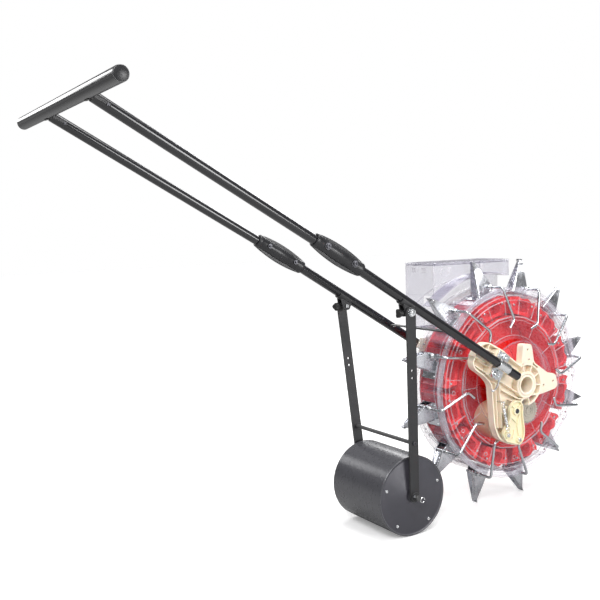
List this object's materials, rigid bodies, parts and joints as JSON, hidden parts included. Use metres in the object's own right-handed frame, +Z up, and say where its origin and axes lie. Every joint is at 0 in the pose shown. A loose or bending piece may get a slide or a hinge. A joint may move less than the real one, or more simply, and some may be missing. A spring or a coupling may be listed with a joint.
{
  "type": "rolling seed planter",
  "caption": "Hand-pushed rolling seed planter: wheel of duckbill mouths, clear hopper, metering gears, press roller on hinged arms, T-shaped push handle.",
  "frame": {"origin": "middle of the overall box, on the ground under the mouths and the press roller", "axes": "+X forward from the handle to the wheel, +Y to the machine's left (hopper side), +Z up; wheel axle along Y"},
  "size_m": [1.2396, 0.557, 0.8574],
  "materials": {
    "black_paint": "gloss powder coat",
    "roller_paint": "satin dark grey paint",
    "black_plastic": "satin moulded",
    "clear_plastic": "clear moulded, faint lavender",
    "red_plastic": "gloss moulded",
    "cream_plastic": "satin moulded, ribbed",
    "ivory_plastic": "satin moulded",
    "gear_plastic": "satin moulded",
    "zinc": "bright zinc plate",
    "dark_steel": "blackened"
  },
  "bodies": {
    "frame": {"axle_tube": "cream_plastic", "bracket_near": "cream_plastic", "bracket_far": "cream_plastic", "tube_clamp_near": "zinc", "tube_clamp_far": "zinc", "trip_pivot": "dark_steel", "meter_housing": "ivory_plastic", "hopper_body": "clear_plastic", "handle_bar": "black_paint", "handle_cap_near": "black_plastic", "handle_cap_far": "black_plastic", "upper_tube_near": "black_paint", "upper_tube_far": "black_paint", "lower_tube_near": "black_paint", "lower_tube_far": "black_paint", "coupler_outer_near": "black_plastic", "coupler_outer_far": "black_plastic", "coupler_inner_near": "black_plastic", "coupler_inner_far": "black_plastic", "brace_rod": "black_paint", "arm_lug_near": "black_paint", "arm_lug_far": "black_paint"},
    "wheel": {"seed_drum": "red_plastic", "wheel_shell_near": "clear_plastic", "wheel_shell_far": "clear_plastic", "hub_gear": "gear_plastic", "fixed_jaw_01": "zinc", "fixed_jaw_02": "zinc", "fixed_jaw_03": "zinc", "fixed_jaw_04": "zinc", "fixed_jaw_05": "zinc", "fixed_jaw_06": "zinc", "fixed_jaw_07": "zinc", "fixed_jaw_08": "zinc", "fixed_jaw_09": "zinc", "fixed_jaw_10": "zinc", "fixed_jaw_11": "zinc", "fixed_jaw_12": "zinc"},
    "mouth_01": {"moving_jaw_01": "zinc"},
    "mouth_02": {"moving_jaw_02": "zinc"},
    "mouth_03": {"moving_jaw_03": "zinc"},
    "mouth_04": {"moving_jaw_04": "zinc"},
    "mouth_05": {"moving_jaw_05": "zinc"},
    "mouth_06": {"moving_jaw_06": "zinc"},
    "mouth_07": {"moving_jaw_07": "zinc"},
    "mouth_08": {"moving_jaw_08": "zinc"},
    "mouth_09": {"moving_jaw_09": "zinc"},
    "mouth_10": {"moving_jaw_10": "zinc"},
    "mouth_11": {"moving_jaw_11": "zinc"},
    "mouth_12": {"moving_jaw_12": "zinc"},
    "trip": {"trip_arm": "ivory_plastic"},
    "meter": {"meter_shaft": "gear_plastic"},
    "lid": {"hopper_lid": "clear_plastic"},
    "arms": {"roller_arm_near": "black_paint", "roller_arm_far": "black_paint", "tie_rod": "black_paint", "roller_axle": "zinc"},
    "roller": {"roller_drum": "roller_paint", "roller_cap_near": "roller_paint", "roller_cap_far": "roller_paint"}
  },
  "joints": [
    {"name": "wheel_spin", "type": "hinge", "parent": "frame", "child": "wheel", "pos_m": [0.34834, 0, 0.27143], "axis": [0, 1, 0], "continuous": true},
    {"name": "mouth_01_open", "type": "hinge", "parent": "wheel", "child": "mouth_01", "pos_m": [0.56208, 0, 0.30589], "axis": [0, 1, 0], "range_deg": [0, 15], "stiffness_Nm_per_rad": 0.6, "springref_deg": -11.46},
    {"name": "mouth_02_open", "type": "hinge", "parent": "wheel", "child": "mouth_02", "pos_m": [0.51621, 0, 0.40814], "axis": [0, 1, 0], "range_deg": [0, 15], "stiffness_Nm_per_rad": 0.6, "springref_deg": -11.46},
    {"name": "mouth_03_open", "type": "hinge", "parent": "wheel", "child": "mouth_03", "pos_m": [0.42536, 0, 0.47376], "axis": [0, 1, 0], "range_deg": [0, 15], "stiffness_Nm_per_rad": 0.6, "springref_deg": -11.46},
    {"name": "mouth_04_open", "type": "hinge", "parent": "wheel", "child": "mouth_04", "pos_m": [0.31387, 0, 0.48516], "axis": [0, 1, 0], "range_deg": [0, 15], "stiffness_Nm_per_rad": 0.6, "springref_deg": -11.46},
    {"name": "mouth_05_open", "type": "hinge", "parent": "wheel", "child": "mouth_05", "pos_m": [0.21162, 0, 0.4393], "axis": [0, 1, 0], "range_deg": [0, 15], "stiffness_Nm_per_rad": 0.6, "springref_deg": -11.46},
    {"name": "mouth_06_open", "type": "hinge", "parent": "wheel", "child": "mouth_06", "pos_m": [0.146, 0, 0.34845], "axis": [0, 1, 0], "range_deg": [0, 15], "stiffness_Nm_per_rad": 0.6, "springref_deg": -11.46},
    {"name": "mouth_07_open", "type": "hinge", "parent": "wheel", "child": "mouth_07", "pos_m": [0.1346, 0, 0.23696], "axis": [0, 1, 0], "range_deg": [0, 15], "stiffness_Nm_per_rad": 0.6, "springref_deg": -11.46},
    {"name": "mouth_08_open", "type": "hinge", "parent": "wheel", "child": "mouth_08", "pos_m": [0.18047, 0, 0.13471], "axis": [0, 1, 0], "range_deg": [0, 15], "stiffness_Nm_per_rad": 0.6, "springref_deg": -11.46},
    {"name": "mouth_09_open", "type": "hinge", "parent": "wheel", "child": "mouth_09", "pos_m": [0.27131, 0, 0.06909], "axis": [0, 1, 0], "range_deg": [0, 15], "stiffness_Nm_per_rad": 0.6, "springref_deg": -11.46},
    {"name": "mouth_10_open", "type": "hinge", "parent": "wheel", "child": "mouth_10", "pos_m": [0.3828, 0, 0.05769], "axis": [0, 1, 0], "range_deg": [0, 15], "stiffness_Nm_per_rad": 0.6, "springref_deg": -11.46},
    {"name": "mouth_11_open", "type": "hinge", "parent": "wheel", "child": "mouth_11", "pos_m": [0.48505, 0, 0.10355], "axis": [0, 1, 0], "range_deg": [0, 15], "stiffness_Nm_per_rad": 0.6, "springref_deg": -11.46},
    {"name": "mouth_12_open", "type": "hinge", "parent": "wheel", "child": "mouth_12", "pos_m": [0.55067, 0, 0.1944], "axis": [0, 1, 0], "range_deg": [0, 15], "stiffness_Nm_per_rad": 0.6, "springref_deg": -11.46},
    {"name": "trip_swing", "type": "hinge", "parent": "frame", "child": "trip", "pos_m": [0.31134, -0.094, 0.21943], "axis": [0, -1, 0], "range_deg": [0, 8], "stiffness_Nm_per_rad": 2, "springref_deg": -8.59},
    {"name": "meter_spin", "type": "hinge", "parent": "frame", "child": "meter", "pos_m": [0.37634, -0.03, 0.20727], "axis": [0, 1, 0], "continuous": true},
    {"name": "lid_hinge", "type": "hinge", "parent": "frame", "child": "lid", "pos_m": [0.29484, 0.117, 0.53973], "axis": [-1, 0, 0], "range_deg": [0, 110]},
    {"name": "arms_swing", "type": "hinge", "parent": "frame", "child": "arms", "pos_m": [0.00834, 0, 0.45843], "axis": [0, 1, 0], "range_deg": [0, 25]},
    {"name": "roller_spin", "type": "hinge", "parent": "arms", "child": "roller", "pos_m": [0.03234, 0, 0.082], "axis": [0, 1, 0], "continuous": true}
  ],
  "couplings": [
    {"joint": "meter_spin", "follows": "wheel_spin", "ratio": -1.5926}
  ]
}
